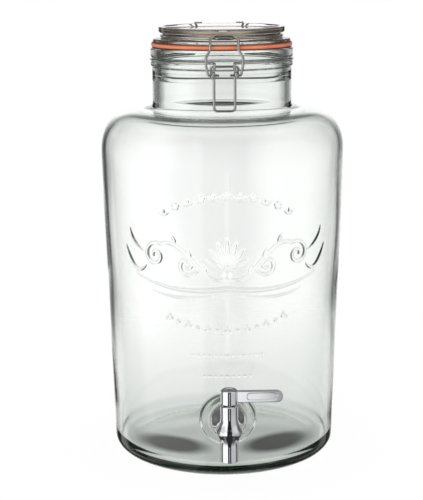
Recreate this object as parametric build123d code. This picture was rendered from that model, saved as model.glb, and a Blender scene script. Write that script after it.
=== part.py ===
from build123d import *

import math
import os

# Clip-top glass dispenser jar with a chromed turn tap. Writes one STEP per piece to parts/.
#
# Frame: millimetres, +Z up, origin on the table at the jar's axis. The tap and the latch face -Y,
# the lid's hinge is at +Y, and the tap's lever points to +X.

# ---------------------------------------------------------------- jar: outside
HEEL_R = 98.9            # outer radius just above the heel
HEEL_ROUND = 12.5        # round between the wall and the table
SHOULDER_R = 107.0       # widest radius, where the shoulder starts
SHOULDER_Z = 266.9
SHOULDER_TOP_Z = 307.2
SHOULDER_TOP_R = 67.6
SHOULDER_POWER = 2.64    # superellipse power of the shoulder's round
NECK_R = 60.9
NECK_FILLET = 5.0
BEAD_R = 62.1            # both beads of the mouth
LOWER_BEAD_Z = 344.2     # underside of the lower bead
GROOVE_Z = 349.9         # middle of the groove that holds the neck wire
GROOVE_HALF = 1.5
GROOVE_R = 60.3
BEAD_SLOPE = (1.0, 0.6)  # the lower bead's sloped underside: this far below and above its height
GROOVE_SLOPE = (0.9, 0.3)  # the groove's sloped sides: this far outside and inside its half width
RIM_Z = 360.1            # sealing face of the mouth
FOOT_IN_R = 80.0         # the flat ring the jar stands on runs from here to the heel round
PUNT_Z = 6.0             # height of the hollow under the base, at the axis

# ---------------------------------------------------------------- jar: inside
WALL = 4.5
FLOOR_Z = 13.5           # inner floor at the axis
FLOOR_EDGE_Z = 8.5       # inner floor where it meets the inner heel
INNER_HEEL = 10.0
NECK_WALL = 5.4
MOUTH_R = 53.2           # the mouth is narrower inside than the neck below it
LEDGE_Z = (332.0, 340.0)  # the neck narrows to the mouth between these heights
MOUTH_ROUND = 4.0        # round between the mouth and the sealing face
RIM_ROUND = 2.4          # round on the outer edge of the mouth
NECK_INNER_ROUND = 13.0  # inside round from the neck into the shoulder
SHOULDER_WALL = 5.0      # glass thickness at the flat top of the shoulder

# ---------------------------------------------------------------- tap hole
TAP_Z = 54.6             # height of the tap's hole
HOLE_R = 8.6
BOSS_FACE_Y = -102.2     # flat outer face of the glass boss
BOSS_R = (21.8, 24.4)    # boss radius at its face and at its foot
PAD_FACE_Y = -94.2       # flat inner face round the hole
PAD_R = 17.0
BOSS_DEPTH = 5.4         # from the boss face back into the wall

# ---------------------------------------------------------------- lid and seal
FLANGE_R = 60.0
SEAL_R = (51.9, 61.4)
SEAL_T = 4.6
SEAL_NOSE = 1.3          # depth of the seal's rounded outer edge
LID_Z = RIM_Z + SEAL_T   # underside of the lid's flange
LID_TOP_Z = 377.6
RIM_R = 55.0
RIM_UNDER_Z = 372.6
WAIST_R = 51.4           # bottom of the groove that holds the lid wire
DISHED_R = 46.5          # the lid's top is dished inside this radius
DISHED = (2.6, 2.0)      # depth of the dish at its edge and at the axis
PLUG_RING_R = (46.4, 51.6)  # ring under the lid that centres it in the mouth
PLUG_RING_DROP = 6.4
HOLLOW = (43.0, 3.6, 4.1)  # hollow under the lid: radius, height at its edge, height at the axis

# ---------------------------------------------------------------- closure wires
WIRE = 2.2               # wire diameter
GAP = 0.08               # running clearance between a wire and the eye round it
EYE = WIRE + GAP         # radius of an eye's or coil's centre line
PITCH = 2.35             # sideways step of one coil turn
BEND = 2.2               # bend radius of the wires
LID_WIRE_R = 52.55
LID_WIRE_Z = 369.95
LID_WIRE_ENDS = 27.0     # angle from the back at which the lid wire leaves its groove
CATCH_Y = -57.1          # the lid wire is bent out to here at the front, as a catch for the loop
CATCH_ANGLE = 12.0       # angle from the front at which that bend starts
CATCH_X = 4.4            # half width of the catch's straight front
NECK_WIRE_R = 61.5
HINGE_Y, HINGE_Z = 65.0, 374.9      # lid hinge
PIVOT_Y, PIVOT_Z = -65.8, GROOVE_Z - EYE   # lever on neck wire
LINK_Y, LINK_Z = -66.9, 340.4       # latch loop on lever
HINGE_COIL_X = 22.4      # outer turn of each hinge coil
HINGE_TURNS = 2.5
POST_X, POST_Y = 25.2, 59.2  # foot of each upright of the neck wire's hinge bridge
EYE_X = 8.3              # front eyes of the neck wire
EYE_WRAP = 250.0         # degrees each front eye wraps round the lever's bar
EYE_LEAD = 3.2           # straight wire behind each front eye
LEVER_TOP_X = 12.1       # lever's half width at its pivot bar
LEG_X = 8.7              # lever's half width at its legs
LEVER_ELBOW = 4.0        # the lever's sides turn upright this far above the loop's ends
LEVER_END_Z = 310.6
LEVER_END_BEND = 3.0
LOOP_BAR_Y, LOOP_BAR_Z = -56.3, 372.15   # latch loop's top bar, just inside and above the catch
LOOP_BAR_X = 8.2         # half width of the top bar
LOOP_X = (13.5, 15.3, 11.7)  # the loop's half width at its ends, at its widest and at its knee
LOOP_END_X = 4.6         # inner ends of the loop, inside the lever's coils
LOOP_WIDE_Z = (348.0, 355.0)  # the loop is widest between these heights
LOOP_NARROW_Z = 361.4    # and back in to its top width from here up
LOOP_KNEE = (-63.9, 365.4)    # Y and height where the loop bends in over the lid
LOOP_SLOPE = (-60.0, 369.6)   # Y and height where its sides turn in towards the top bar
LOOP_BEND = 1.2

# ---------------------------------------------------------------- tap
BARREL_Y = -133.0        # vertical axis of the tap's barrel
WASHER_T = 2.0
WASHER_R = 17.0
BELL_Y = BOSS_FACE_Y - WASHER_T     # back face of the tap's flange
BELL_R = 15.0
TAIL_R = 8.0
TAIL_END_Y = -80.0
INLET_R = 4.6
SLIP_T = 1.2
NUT_T = 7.0
NUT_FLATS = 25.0
BARREL_R = 7.3
BARREL_TOP_Z = 77.2
BULB_R, BULB_Z = 11.4, 55.0     # widest part of the body below the barrel
WAIST_Z = 67.0           # the body meets the barrel here
SPOUT_EDGE = 0.6         # round on the spout's outer edge
BARREL_EDGE = 0.5        # chamfer on the barrel's top edge
DOME = ((12.6, 8.5), (9.2, 15.0))   # dome between flange and barrel: radius, distance in front of the flange
DOME_NOSE = (8.6, 4.0)   # front of the dome: radius, distance behind the barrel's axis
FLANGE_EDGE = (2.2, 1.2, 0.25, 0.2)  # flange edge: depth, middle, bulge at the middle, step in at the back
TAIL_CHAMFER = 0.8
SPOUT_R = 7.4
SPOUT_END_Z = 29.0
SPOUT_TUBE_TOP_Z = 43.0  # the spout is a plain tube from its end up to here
SPOUT_BORE_R = 5.4
BORE_R = 5.2             # the plug turns in this bore
TURN_GAP = 0.05          # clearance round the plug
PLUG_Z = (45.2, 73.4)
PLUG_BORE_R = 3.4
SNAP_Z = 71.2            # height of the snap bead that keeps the plug in
SNAP = (0.4, 0.5, 1.4, 1.7)         # bead and its groove: how far past the bore each goes, then their widths
PORT_R = 2.9             # side port of the plug
SEAL_RING_Z = (66.4, 48.7)
SEAL_RING_R = 0.75       # section radius of the plug's O-rings
RING_GAP = 0.02          # drawn clearance between the O-rings and the bore
STEM_SQUARE = 5.0
STEM_TOP_Z = 83.0
SCREW_HOLE = 9.0         # depth of the screw's hole in the stem
CAP_R = 7.1
CAP_Z = (78.6, 90.7)
LEVER_LENGTH = 44.2      # from the barrel's axis to the lever's tip
LEVER_H = 10.2
LEVER_T = 3.4
LEVER_Z = 84.6           # middle height of the lever
DISH = (14.2, 39.6, 7.0, 1.0)       # lever's dish: from x, to x, height, depth
DISH_TAPER = 40.0        # slope of the dish's sides, in degrees
SCREW_R = 1.5
SCREW_HEAD_R = 2.7
SCREW_HEAD_T = 2.2
SCREW_LENGTH = 9.0
SCREW_GAP = 0.2          # clearance of the lever's hole round the screw
RECESS_R, RECESS_T = 3.6, 5.4       # screw's recess in the lever's cap
BUTTON_R, BUTTON_T = 3.55, 1.8      # button that closes the recess
NUT_FACE_R, NUT_FACE_T = 14.4, 1.4  # washer face of the nut
INNER_SEAL_R = 15.4
LOOSE = 0.1              # clearance of the washers round the tail

UPRIGHT = (Align.CENTER, Align.CENTER, Align.MIN)


# ================================================================ helpers
def spin(outline):
    """Solid of revolution about Z from a closed outline drawn with X as radius and Z as height."""
    return revolve(make_face(outline), Axis.Z, 360)


def path_outline(start, steps):
    """Edges from start through steps. A step is a point (line), or (through, point) for an arc."""
    edges, here = [], start
    for step in steps:
        if isinstance(step[0], tuple):
            through, there = step
            edges.append(ThreePointArc(flat(here), flat(through), flat(there)))
        else:
            there = step
            edges.append(Line(flat(here), flat(there)))
        here = there
    return edges


def flat(point):
    """(radius, height) as a point of the XZ plane."""
    return (point[0], 0, point[1])


def quarter(centre, radius, middle_angle):
    """Point on a round, at an angle in degrees from +radius towards +height."""
    a = math.radians(middle_angle)
    return (centre[0] + radius * math.cos(a), centre[1] + radius * math.sin(a))


def crown(radius, edge_z, axis_z):
    """Middle point of the arc from (radius, edge_z) to the axis whose centre lies on the axis."""
    rise = axis_z - edge_z
    ball = (radius**2 + rise**2) / (2 * abs(rise))
    half = math.asin(radius / ball) / 2
    side = math.copysign(1, rise)
    return (ball * math.sin(half), axis_z - side * ball * (1 - math.cos(half)))


def rounded(points, radius=BEND):
    """Edges along a polyline in space, with each corner bent to the radius."""
    points = [Vector(*p) for p in points]
    edges, here = [], points[0]
    for before, corner, after in zip(points, points[1:], points[2:]):
        back, on = (before - corner).normalized(), (after - corner).normalized()
        half = math.radians(back.get_angle(on)) / 2
        reach = radius / math.tan(half)
        inward = (back + on).normalized()
        middle = corner + inward * (radius / math.sin(half) - radius)
        edges.append(Line(here, corner + back * reach))
        edges.append(ThreePointArc(corner + back * reach, middle, corner + on * reach))
        here = corner + on * reach
    edges.append(Line(here, points[-1]))
    return edges


def rod(edges, diameter=WIRE):
    """Round wire along joined edges."""
    path = Wire(edges)
    section = Plane(origin=path @ 0, z_dir=path % 0) * Circle(diameter / 2)
    return sweep(section, path=path)


def coil(x, y, z, start_angle, turns, step, sense=1):
    """Smooth coil of wire about the X direction round (y, z), stepping sideways by step per turn."""
    points = []
    pieces = round(24 * turns)
    for i in range(pieces + 1):
        t = 2 * math.pi * turns * i / pieces
        a = math.radians(start_angle) + sense * t
        shift = step * (t - math.sin(t)) / (2 * math.pi)
        points.append((x + shift, y + EYE * math.cos(a), z + EYE * math.sin(a)))
    return Spline(*points)


def both_sides(shape):
    """The shape and its mirror image in the YZ plane, as one solid or one set of solids."""
    return shape + mirror(shape, about=Plane.YZ)


def disc(radius, low, high, inner=0.0):
    """Washer-like disc about the jar's front-to-back tap axis, between two Y values."""
    plane = Plane(origin=(0, low, TAP_Z), x_dir=(1, 0, 0), z_dir=(0, 1, 0))
    ring = extrude(plane * Circle(radius), amount=high - low)
    if inner:
        ring -= extrude(plane * Circle(inner), amount=high - low)
    return ring


# ================================================================ glass
def wall_r(z, inset=0.0):
    """Radius of the tapering body wall at a height."""
    share = (z - HEEL_ROUND) / (SHOULDER_Z - HEEL_ROUND)
    return HEEL_R + (SHOULDER_R - HEEL_R) * share - inset


def shoulder_curve(top_r, top_z, inset, going_up):
    """Shoulder round as a spline through superellipse points, from the wall to its flat top."""
    span_r, span_z = SHOULDER_R - inset - top_r, top_z - SHOULDER_Z
    points = []
    for degrees in (0, 12, 27, 45, 63, 78, 90):
        t = math.radians(degrees)
        r = top_r + span_r * abs(math.cos(t)) ** (2 / SHOULDER_POWER)
        z = SHOULDER_Z + span_z * math.sin(t) ** (2 / SHOULDER_POWER)
        points.append(flat((r, z)))
    slope = (SHOULDER_R - HEEL_R) / (SHOULDER_Z - HEEL_ROUND)
    ends = [(slope, 0, 1), (-1, 0, 0)]
    if not going_up:
        points, ends = points[::-1], [(1, 0, 0), (-slope, 0, -1)]
    return Spline(*points, tangents=ends)


def jar_outside():
    """Outline edges from the base's axis up to the outer edge of the mouth."""
    heel = (HEEL_R - HEEL_ROUND, HEEL_ROUND)
    foot = (NECK_R + NECK_FILLET, SHOULDER_TOP_Z + NECK_FILLET)
    rim = (BEAD_R - RIM_ROUND, RIM_Z - RIM_ROUND)
    groove_out, groove_in = GROOVE_HALF + GROOVE_SLOPE[0], GROOVE_HALF - GROOVE_SLOPE[1]
    low = path_outline(
        (0, PUNT_Z),
        [
            (crown(FOOT_IN_R, 0, PUNT_Z), (FOOT_IN_R, 0)),
            (heel[0], 0),
            (quarter(heel, HEEL_ROUND, -45), (HEEL_R, HEEL_ROUND)),
            (SHOULDER_R, SHOULDER_Z),
        ],
    )
    top = path_outline(
        (SHOULDER_TOP_R, SHOULDER_TOP_Z),
        [
            (foot[0], SHOULDER_TOP_Z),
            (quarter(foot, NECK_FILLET, 225), (NECK_R, foot[1])),
            (NECK_R, LOWER_BEAD_Z - BEAD_SLOPE[0]),
            (BEAD_R, LOWER_BEAD_Z + BEAD_SLOPE[1]),
            (BEAD_R, GROOVE_Z - groove_out),
            (GROOVE_R, GROOVE_Z - groove_in),
            (GROOVE_R, GROOVE_Z + groove_in),
            (BEAD_R, GROOVE_Z + groove_out),
            (BEAD_R, rim[1]),
            (quarter(rim, RIM_ROUND, 45), (rim[0], RIM_Z)),
        ],
    )
    return low + [shoulder_curve(SHOULDER_TOP_R, SHOULDER_TOP_Z, 0.0, True)] + top


def jar_inside():
    """Outline edges from the outer edge of the mouth down the inside to the inner floor's axis."""
    inner_neck = NECK_R - NECK_WALL
    top_z = SHOULDER_TOP_Z - SHOULDER_WALL
    corner = (inner_neck + NECK_INNER_ROUND, top_z + NECK_INNER_ROUND)
    mouth = (MOUTH_R + MOUTH_ROUND, RIM_Z - MOUTH_ROUND)
    heel_z = FLOOR_EDGE_Z + INNER_HEEL
    heel = (wall_r(heel_z, WALL) - INNER_HEEL, heel_z)
    down = path_outline(
        (BEAD_R - RIM_ROUND, RIM_Z),
        [
            (mouth[0], RIM_Z),
            (quarter(mouth, MOUTH_ROUND, 135), (MOUTH_R, mouth[1])),
            (MOUTH_R, LEDGE_Z[1]),
            (inner_neck, LEDGE_Z[0]),
            (inner_neck, corner[1]),
            (quarter(corner, NECK_INNER_ROUND, 225), (corner[0], top_z)),
        ],
    )
    low = path_outline(
        (SHOULDER_R - WALL, SHOULDER_Z),
        [
            (wall_r(heel_z, WALL), heel_z),
            (quarter(heel, INNER_HEEL, -45), (heel[0], FLOOR_EDGE_Z)),
            (crown(heel[0], FLOOR_EDGE_Z, FLOOR_Z), (0, FLOOR_Z)),
            (0, PUNT_Z),
        ],
    )
    return down + [shoulder_curve(corner[0], top_z, WALL, False)] + low


def glass_jar():
    jar = spin(jar_outside() + jar_inside())
    face = Plane(origin=(0, BOSS_FACE_Y, TAP_Z), x_dir=(1, 0, 0), z_dir=(0, 1, 0))
    foot = face.offset(BOSS_DEPTH) * Circle(BOSS_R[1])
    jar += loft([face * Circle(BOSS_R[0]), foot])
    jar += disc(PAD_R, BOSS_FACE_Y + BOSS_DEPTH - 1.0, PAD_FACE_Y)
    return jar - disc(HOLE_R, BOSS_FACE_Y - 1.0, PAD_FACE_Y + 1.0)


def glass_lid():
    """Pressed glass lid: rolled rim, wire groove, sealing flange and a ring that centres it in the mouth."""
    dish_edge, dish_axis = LID_TOP_Z - DISHED[0], LID_TOP_Z - DISHED[1]
    hollow_edge, hollow_axis = LID_Z + HOLLOW[1], LID_Z + HOLLOW[2]
    ring_in, ring_out = PLUG_RING_R
    ring_mid = (ring_in + ring_out) / 2 + 0.4
    outline = path_outline(
        (0, dish_axis),
        [
            (crown(DISHED_R, dish_edge, dish_axis), (DISHED_R, dish_edge)),
            ((48.6, LID_TOP_Z - 2.2), (50.2, LID_TOP_Z - 0.9)),
            ((51.2, LID_TOP_Z - 0.2), (52.6, LID_TOP_Z)),
            (54.2, LID_TOP_Z),
            ((54.8, LID_TOP_Z - 0.2), (RIM_R, LID_TOP_Z - 0.8)),
            (RIM_R - 0.1, RIM_UNDER_Z + 0.8),
            ((54.6, RIM_UNDER_Z + 0.2), (54.0, RIM_UNDER_Z)),
            (52.0, RIM_UNDER_Z),
            (WAIST_R, RIM_UNDER_Z - 0.5),
            (WAIST_R, LID_Z + 4.0),
            (52.0, LID_Z + 3.6),
            (58.4, LID_Z + 2.8),
            ((59.5, LID_Z + 2.3), (FLANGE_R, LID_Z + 1.2)),
            ((59.8, LID_Z + 0.4), (FLANGE_R - 1.0, LID_Z)),
            (ring_out, LID_Z),
            (ring_out - 0.4, LID_Z - PLUG_RING_DROP + 1.4),
            ((ring_mid, LID_Z - PLUG_RING_DROP), (ring_in + 1.2, LID_Z - PLUG_RING_DROP + 1.4)),
            (ring_in, LID_Z + 1.0),
            ((ring_in - 1.0, LID_Z + 3.0), (HOLLOW[0], hollow_edge)),
            (crown(HOLLOW[0], hollow_edge, hollow_axis), (0, hollow_axis)),
            (0, dish_axis),
        ],
    )
    return spin(outline)


def lid_seal():
    """Flat rubber ring pushed up round the lid's centring ring."""
    low, high = RIM_Z, LID_Z
    inner, outer = SEAL_R
    outline = path_outline(
        (inner, low),
        [
            (outer - SEAL_NOSE, low),
            ((outer, (low + high) / 2), (outer - SEAL_NOSE, high)),
            (inner, high),
            (inner, low),
        ],
    )
    return spin(outline)


# ================================================================ closure wires
def lid_wire():
    """Ring in the lid's groove with a front catch; its two ends curl round the hinge bar."""
    end_angle, catch_angle = math.radians(LID_WIRE_ENDS), math.radians(CATCH_ANGLE)
    x0, y0 = LID_WIRE_R * math.sin(end_angle), LID_WIRE_R * math.cos(end_angle)
    x1, y1 = LID_WIRE_R * math.sin(catch_angle), -LID_WIRE_R * math.cos(catch_angle)
    reach = Spline(
        (HINGE_COIL_X, HINGE_Y, HINGE_Z - EYE),
        (x0, y0, LID_WIRE_Z),
        tangents=[(0, -1, 0), (math.cos(end_angle), -math.sin(end_angle), 0)],
    )
    ring = ThreePointArc((x0, y0, LID_WIRE_Z), (LID_WIRE_R, 0, LID_WIRE_Z), (x1, y1, LID_WIRE_Z))
    catch = Spline(
        (x1, y1, LID_WIRE_Z),
        (CATCH_X, CATCH_Y, LID_WIRE_Z),
        tangents=[(-math.cos(catch_angle), -math.sin(catch_angle), 0), (-1, 0, 0)],
    )
    front = Line((CATCH_X, CATCH_Y, LID_WIRE_Z), (0, CATCH_Y, LID_WIRE_Z))
    curl = coil(HINGE_COIL_X, HINGE_Y, HINGE_Z, -90, HINGE_TURNS, -PITCH)
    return both_sides(rod([curl, reach, ring, catch, front]))


def groove_exit(x, y):
    """Angle from the Y axis at which a wire leaves the groove along a tangent to reach (x, y)."""
    reach = math.hypot(x, y)
    return math.degrees(math.asin(x / reach) + math.acos(NECK_WIRE_R / reach))


def neck_wire():
    """Wire round the neck groove: front eyes hold the lever's bar, the rear bridge is the lid's hinge."""
    bend_y = PIVOT_Y + EYE_LEAD
    front = groove_exit(EYE_X, bend_y)
    rear = groove_exit(POST_X, POST_Y)
    a, b = math.radians(front), math.radians(rear)
    front_point = (NECK_WIRE_R * math.sin(a), -NECK_WIRE_R * math.cos(a), GROOVE_Z)
    rear_point = (NECK_WIRE_R * math.sin(b), NECK_WIRE_R * math.cos(b), GROOVE_Z)
    hook_start = math.radians(90 + EYE_WRAP)
    hook_middle = math.radians(90 + EYE_WRAP / 2)
    tip = (EYE_X, PIVOT_Y + EYE * math.cos(hook_start), PIVOT_Z + EYE * math.sin(hook_start))
    middle = (EYE_X, PIVOT_Y + EYE * math.cos(hook_middle), PIVOT_Z + EYE * math.sin(hook_middle))
    eye = ThreePointArc(tip, middle, (EYE_X, PIVOT_Y, GROOVE_Z))
    lead = rounded([(EYE_X, PIVOT_Y, GROOVE_Z), (EYE_X, bend_y, GROOVE_Z), front_point], 1.9)
    ring = ThreePointArc(front_point, (NECK_WIRE_R, 0, GROOVE_Z), rear_point)
    bridge = rounded(
        [rear_point, (POST_X, POST_Y, GROOVE_Z), (POST_X, HINGE_Y, HINGE_Z), (0, HINGE_Y, HINGE_Z)]
    )
    return both_sides(rod([eye] + lead + [ring] + bridge))


def latch_lever():
    """Closed wire frame: pivot bar, a coil each side for the latch loop's ends, legs and finger bar."""
    wire_y = LINK_Y + EYE
    coil_x = LEG_X + PITCH
    elbow_z = LINK_Z + LEVER_ELBOW
    top = rounded(
        [
            (0, PIVOT_Y, PIVOT_Z),
            (LEVER_TOP_X, PIVOT_Y, PIVOT_Z),
            (coil_x, wire_y, elbow_z),
            (coil_x, wire_y, LINK_Z),
        ]
    )
    curl = coil(coil_x, LINK_Y, LINK_Z, 0, 1, -PITCH, sense=-1)
    corner = (LEG_X, wire_y, LEVER_END_Z)
    legs = rounded([(LEG_X, wire_y, LINK_Z), corner, (0, wire_y, LEVER_END_Z)], LEVER_END_BEND)
    return both_sides(rod(top) + rod([curl] + legs))


def latch_loop():
    """Wire loop from the lever's coils up the front, and inwards over the lid wire."""
    knee_y, knee_z = LOOP_KNEE
    side_x, wide_x, top_x = LOOP_X
    low_z, high_z = LOOP_WIDE_Z

    def depth(z):
        """Y of the loop's straight front at a height."""
        return LINK_Y + (knee_y - LINK_Y) * (z - LINK_Z) / (knee_z - LINK_Z)

    points = [
        (LOOP_END_X, LINK_Y, LINK_Z),
        (side_x, LINK_Y, LINK_Z),
        (wide_x, depth(low_z), low_z),
        (wide_x, depth(high_z), high_z),
        (top_x, depth(LOOP_NARROW_Z), LOOP_NARROW_Z),
        (top_x, knee_y, knee_z),
        (top_x, *LOOP_SLOPE),
        (LOOP_BAR_X, LOOP_BAR_Y, LOOP_BAR_Z),
        (0, LOOP_BAR_Y, LOOP_BAR_Z),
    ]
    return both_sides(rod(rounded(points, LOOP_BEND)))


# ================================================================ tap
def barrel_outline():
    """Outline of the barrel, bulb and spout about the tap's vertical axis."""
    edge = (SPOUT_R - SPOUT_EDGE, SPOUT_END_Z + SPOUT_EDGE)
    tube = path_outline(
        (0, SPOUT_END_Z),
        [
            (edge[0], SPOUT_END_Z),
            (quarter(edge, SPOUT_EDGE, -45), (SPOUT_R, edge[1])),
            (SPOUT_R, SPOUT_TUBE_TOP_Z),
        ],
    )
    swell = Spline(
        flat((SPOUT_R, SPOUT_TUBE_TOP_Z)),
        flat((BULB_R, BULB_Z)),
        flat((BARREL_R, WAIST_Z)),
        tangents=[(0, 0, 1), (0, 0, 1)],
    )
    top = path_outline(
        (BARREL_R, WAIST_Z),
        [
            (BARREL_R, BARREL_TOP_Z - BARREL_EDGE),
            (BARREL_R - BARREL_EDGE, BARREL_TOP_Z),
            (0, BARREL_TOP_Z),
            (0, SPOUT_END_Z),
        ],
    )
    return tube + [swell] + top


def tap_body():
    """Flange, threaded tail, bulbous body, barrel and spout in one casting, with its bores."""
    body = Pos(0, BARREL_Y, 0) * spin(barrel_outline())
    body += bell()
    body -= disc(INLET_R, BARREL_Y, TAIL_END_Y + 1.0)
    below_plug = 1.0
    body -= Pos(0, BARREL_Y, SPOUT_END_Z - 1) * Cylinder(SPOUT_BORE_R, PLUG_Z[0] - SPOUT_END_Z, align=UPRIGHT)
    body -= Pos(0, BARREL_Y, PLUG_Z[0] - below_plug - 0.01) * Cylinder(BORE_R, BARREL_TOP_Z, align=UPRIGHT)
    body -= Pos(0, BARREL_Y, SNAP_Z) * Cylinder(BORE_R + SNAP[1], SNAP[3])
    return body


def bell():
    """Flange, dome and tail about the tap's horizontal axis."""
    nose_r, front_y = DOME_NOSE[0], BARREL_Y + DOME_NOSE[1]
    depth, middle, bulge, step = FLANGE_EDGE
    edge_start = (BELL_R, BELL_Y - depth, 0)
    edge_end = (BELL_R - step, BELL_Y, 0)
    dome = Spline(
        edge_start,
        *[(r, BELL_Y - ahead, 0) for r, ahead in DOME],
        (nose_r, front_y, 0),
        tangents=[(-0.1, -1, 0), (0, -1, 0)],
    )
    edges = [
        Line((0, front_y, 0), (nose_r, front_y, 0)),
        dome,
        ThreePointArc(edge_start, (BELL_R + bulge, BELL_Y - middle, 0), edge_end),
        Line(edge_end, (TAIL_R, BELL_Y, 0)),
        Line((TAIL_R, BELL_Y, 0), (TAIL_R, TAIL_END_Y - TAIL_CHAMFER, 0)),
        Line((TAIL_R, TAIL_END_Y - TAIL_CHAMFER, 0), (TAIL_R - TAIL_CHAMFER, TAIL_END_Y, 0)),
        Line((TAIL_R - TAIL_CHAMFER, TAIL_END_Y, 0), (0, TAIL_END_Y, 0)),
        Line((0, TAIL_END_Y, 0), (0, front_y, 0)),
    ]
    return Pos(0, 0, TAP_Z) * revolve(make_face(edges), Axis.Y, 360)


def tap_plug():
    """Turning plug: hollow below, one side port, grooves for two O-rings, snap bead and square stem."""
    run = BORE_R - TURN_GAP
    groove_depth, groove_half = 2 * SEAL_RING_R, SEAL_RING_R + 0.05
    low, high = PLUG_Z
    plug = Pos(0, 0, low) * Cylinder(run, high - low, align=UPRIGHT)
    plug += Pos(0, 0, SNAP_Z) * Cylinder(BORE_R + SNAP[0], SNAP[2])
    for z in SEAL_RING_Z:
        ring = Cylinder(run + 1, 2 * groove_half) - Cylinder(run - groove_depth, 2 * groove_half)
        plug -= Pos(0, 0, z) * ring
    plug += Pos(0, 0, high) * Box(STEM_SQUARE, STEM_SQUARE, STEM_TOP_Z - high, align=UPRIGHT)
    plug -= Pos(0, 0, low) * Cylinder(PLUG_BORE_R, TAP_Z + PLUG_BORE_R - low, align=UPRIGHT)
    plug -= Pos(0, 0, TAP_Z) * Rot(0, -90, 0) * Cylinder(PORT_R, run + 1, align=UPRIGHT)
    plug -= Pos(0, 0, STEM_TOP_Z - SCREW_HOLE) * Cylinder(SCREW_R, SCREW_HOLE + 0.5, align=UPRIGHT)
    return Pos(0, BARREL_Y, 0) * plug


def plug_o_rings():
    """Two O-rings in the plug's grooves, above and below the port."""
    centre_r = BORE_R - RING_GAP - SEAL_RING_R
    rings = [Pos(0, BARREL_Y, z) * Torus(centre_r, SEAL_RING_R) for z in SEAL_RING_Z]
    return Compound(children=[r.solid() for r in rings])


def tap_lever():
    """Round cap over the stem with a dished, round-ended lever to one side."""
    low, high = CAP_Z
    edge = 1.3
    cap = spin(
        path_outline(
            (0, low),
            [
                (CAP_R - 0.4, low),
                (CAP_R, low + 0.4),
                (CAP_R, high - edge),
                (quarter((CAP_R - edge, high - edge), edge, 45), (CAP_R - edge, high)),
                (0, high),
                (0, low),
            ],
        )
    )
    face = Plane(origin=(0, LEVER_T / 2, LEVER_Z), x_dir=(1, 0, 0), z_dir=(0, -1, 0))
    end_r = LEVER_H / 2
    straight = LEVER_LENGTH - end_r
    plate = extrude(face * (Pos(straight / 2, 0) * Rectangle(straight, LEVER_H)), LEVER_T)
    plate += extrude(face * (Pos(LEVER_LENGTH - end_r, 0) * Circle(end_r)), LEVER_T)
    x0, x1, tall, deep = DISH
    dish = Pos((x0 + x1) / 2, 0) * RectangleRounded(x1 - x0, tall, 0.45 * tall)
    front = Plane(origin=(0, -LEVER_T / 2, LEVER_Z), x_dir=(1, 0, 0), z_dir=(0, 1, 0))
    plate -= extrude(face * dish, deep, taper=DISH_TAPER)
    plate -= extrude(front * dish, deep, taper=DISH_TAPER)
    plate = fillet(plate.edges().filter_by(GeomType.LINE).filter_by(Axis.X).sort_by(Axis.Z)[-2:], 0.8)
    lever = cap + plate
    lever -= Box(STEM_SQUARE + 0.1, STEM_SQUARE + 0.1, 2 * (STEM_TOP_Z + 0.1))
    lever -= Pos(0, 0, low) * Cylinder(SCREW_R + SCREW_GAP, high - low, align=UPRIGHT)
    lever -= Pos(0, 0, high) * Cylinder(RECESS_R, 2 * RECESS_T)
    return Pos(0, BARREL_Y, 0) * lever


def tap_screw():
    """Pan-head screw that clamps the lever to the plug's stem."""
    seat_z = CAP_Z[1] - RECESS_T
    screw = Pos(0, 0, seat_z) * Cylinder(SCREW_HEAD_R, SCREW_HEAD_T, align=UPRIGHT)
    screw = fillet(screw.edges().sort_by(Axis.Z)[-1:], 0.7)
    screw += Pos(0, 0, seat_z - SCREW_LENGTH) * Cylinder(SCREW_R - 0.02, SCREW_LENGTH, align=UPRIGHT)
    slot_length, slot_width, slot_depth = 4.0, 0.8, 0.9
    cross = Box(slot_length, slot_width, 2 * slot_depth) + Box(slot_width, slot_length, 2 * slot_depth)
    slot = Pos(0, 0, seat_z + SCREW_HEAD_T) * cross
    return Pos(0, BARREL_Y, 0) * (screw - slot)


def tap_button():
    """Small domed button that closes the screw's recess in the lever's cap."""
    top = CAP_Z[1]
    low, edge, peak = top - BUTTON_T, top - 0.2, top + 0.4
    outline = path_outline(
        (0, low),
        [(BUTTON_R, low), (BUTTON_R, edge), (crown(BUTTON_R, edge, peak), (0, peak)), (0, low)],
    )
    return Pos(0, BARREL_Y, 0) * spin(outline)


def tap_nut():
    """Hexagon nut with a washer face, inside the jar."""
    low = PAD_FACE_Y + WASHER_T + SLIP_T
    plane = Plane(origin=(0, low, TAP_Z), x_dir=(1, 0, 0), z_dir=(0, 1, 0))
    hexagon = extrude(plane * RegularPolygon(NUT_FLATS / 2, 6, major_radius=False), NUT_T)
    turned = disc(NUT_FLATS / 2 + 0.9, low, low + NUT_T)
    turned = chamfer(turned.edges().sort_by(Axis.Y)[-1:], 1.4)
    nut = hexagon & turned
    nut += disc(NUT_FACE_R, low, low + NUT_FACE_T)
    return nut - disc(TAIL_R + 0.05, low - 1, low + NUT_T + 1)


def washers():
    """The tap's outer seal, inner seal and slip washer, in order from the outside in."""
    outer = disc(WASHER_R, BELL_Y, BOSS_FACE_Y, TAIL_R + LOOSE)
    outer = fillet(outer.edges().filter_by(GeomType.CIRCLE).sort_by(SortBy.RADIUS)[-2:], 0.6)
    inner = disc(INNER_SEAL_R, PAD_FACE_Y, PAD_FACE_Y + WASHER_T, TAIL_R + LOOSE)
    inner = fillet(inner.edges().filter_by(GeomType.CIRCLE).sort_by(SortBy.RADIUS)[-2:], 0.5)
    slip = disc(NUT_FACE_R, PAD_FACE_Y + WASHER_T, PAD_FACE_Y + WASHER_T + SLIP_T, TAIL_R + 1.5 * LOOSE)
    return outer, inner, slip


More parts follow.
